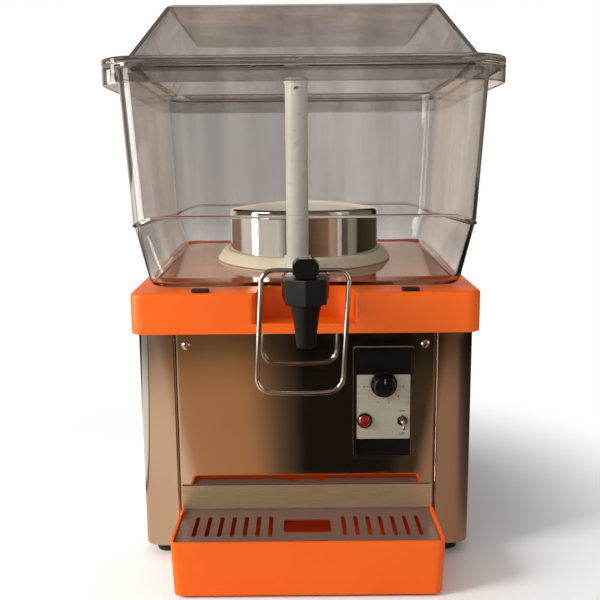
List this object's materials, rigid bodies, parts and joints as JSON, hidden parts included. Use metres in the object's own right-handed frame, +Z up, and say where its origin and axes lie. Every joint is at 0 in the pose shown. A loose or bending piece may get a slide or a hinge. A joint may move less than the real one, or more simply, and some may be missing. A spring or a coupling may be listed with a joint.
{
  "type": "lemonade dispenser machine",
  "caption": "Countertop cold drink dispenser: clear lidded bowl on a chilled cabinet with a push-back tap, control panel and pull-out drip tray.",
  "frame": {"origin": "on the table, under the middle of the whole machine's box", "axes": "+Z up, +X to the right as seen from the front, -Y towards the person who uses it"},
  "size_m": [0.42, 0.472, 0.602],
  "materials": {
    "mirror_steel": "mirror-polished stainless sheet",
    "brushed_steel": "satin stainless",
    "zinc_sheet": "dull galvanised sheet",
    "orange_plastic": "glossy moulded",
    "clear_plastic": "clear, faintly smoked",
    "milky_plastic": "translucent white",
    "black_plastic": "satin moulded",
    "foot_rubber": "matt",
    "beige_rubber": "matt food-grade",
    "silver_plate": "satin anodised",
    "red_lens": "glossy lens",
    "chrome_trim": "polished",
    "black_enamel": "semi-gloss",
    "cooling_aluminium": "mill",
    "magnet_grey": "ground"
  },
  "bodies": {
    "cabinet": {"foot_front_left": "foot_rubber", "foot_front_right": "foot_rubber", "foot_rear_left": "foot_rubber", "foot_rear_right": "foot_rubber", "base_pan": "zinc_sheet", "side_panel_left": "mirror_steel", "side_panel_right": "mirror_steel", "front_panel": "mirror_steel", "panel_screw_left": "chrome_trim", "panel_screw_right": "chrome_trim", "rear_panel": "zinc_sheet", "cord_gland": "foot_rubber", "deck": "orange_plastic", "deck_pad_left": "foot_rubber", "deck_pad_right": "foot_rubber", "evaporator_drum": "mirror_steel", "pump_motor": "black_enamel", "motor_bracket": "zinc_sheet", "control_bezel": "mirror_steel", "control_plate": "black_plastic", "dial_plate": "silver_plate", "thermostat": "brushed_steel", "pilot_lamp": "red_lens", "toggle_body": "chrome_trim", "toggle_nut": "chrome_trim", "compressor": "black_enamel", "condenser": "cooling_aluminium", "fan_motor": "black_enamel"},
    "bowl": {"bowl": "clear_plastic", "drum_gasket": "beige_rubber", "spray_tube": "milky_plastic", "pump_cover": "milky_plastic", "tap_body": "black_plastic", "outlet_seal": "beige_rubber", "tap_head": "black_plastic", "valve_spring": "chrome_trim"},
    "lid": {"lid": "clear_plastic"},
    "handle": {"handle_wire": "chrome_trim", "lift_fork": "brushed_steel"},
    "valve": {"valve_plunger": "brushed_steel"},
    "impeller": {"impeller": "black_plastic"},
    "drive": {"drive_magnet": "magnet_grey"},
    "fan": {"fan_blade": "cooling_aluminium"},
    "knob": {"thermostat_knob": "black_plastic"},
    "toggle": {"toggle_lever": "chrome_trim"},
    "tray": {"drip_tray": "orange_plastic"},
    "grille": {"drip_grille": "brushed_steel"}
  },
  "joints": [
    {"name": "bowl_lift", "type": "slide", "parent": "cabinet", "child": "bowl", "axis": [0, 0, 1], "range_m": [0, 0.1]},
    {"name": "lid_lift", "type": "slide", "parent": "bowl", "child": "lid", "axis": [0, 0, 1], "range_m": [0, 0.08]},
    {"name": "handle_press", "type": "hinge", "parent": "bowl", "child": "handle", "pos_m": [0, -0.208, 0.332], "axis": [1, 0, 0], "range_deg": [0, 20]},
    {"name": "plunger_lift", "type": "slide", "parent": "bowl", "child": "valve", "axis": [0, 0, 1], "range_m": [0, 0.005], "stiffness_N_per_m": 250, "springref_m": -0.004, "deforming": ["valve_spring"]},
    {"name": "drive_spin", "type": "hinge", "parent": "cabinet", "child": "drive", "pos_m": [-0.008, -0.084, 0.3], "axis": [0, 0, 1], "continuous": true},
    {"name": "impeller_spin", "type": "hinge", "parent": "bowl", "child": "impeller", "pos_m": [-0.008, -0.084, 0.32], "axis": [0, 0, 1], "continuous": true},
    {"name": "fan_spin", "type": "hinge", "parent": "cabinet", "child": "fan", "pos_m": [0.076, 0.1648, 0.0908], "axis": [0, 1, 0], "continuous": true},
    {"name": "knob_turn", "type": "hinge", "parent": "cabinet", "child": "knob", "pos_m": [0.084, -0.155, 0.2], "axis": [0, 1, 0], "range_deg": [0, 270]},
    {"name": "toggle_flip", "type": "hinge", "parent": "cabinet", "child": "toggle", "pos_m": [0.1045, -0.1562, 0.159], "axis": [-1, 0, 0], "range_deg": [0, 30]},
    {"name": "tray_pull", "type": "slide", "parent": "cabinet", "child": "tray", "axis": [0, -1, 0], "range_m": [0, 0.085]},
    {"name": "grille_lift", "type": "slide", "parent": "tray", "child": "grille", "axis": [0, 0, 1], "range_m": [0, 0.025]}
  ],
  "couplings": [
    {"joint": "plunger_lift", "follows": "handle_press", "m_per_rad": 0.0143},
    {"joint": "impeller_spin", "follows": "drive_spin", "ratio": 1}
  ]
}
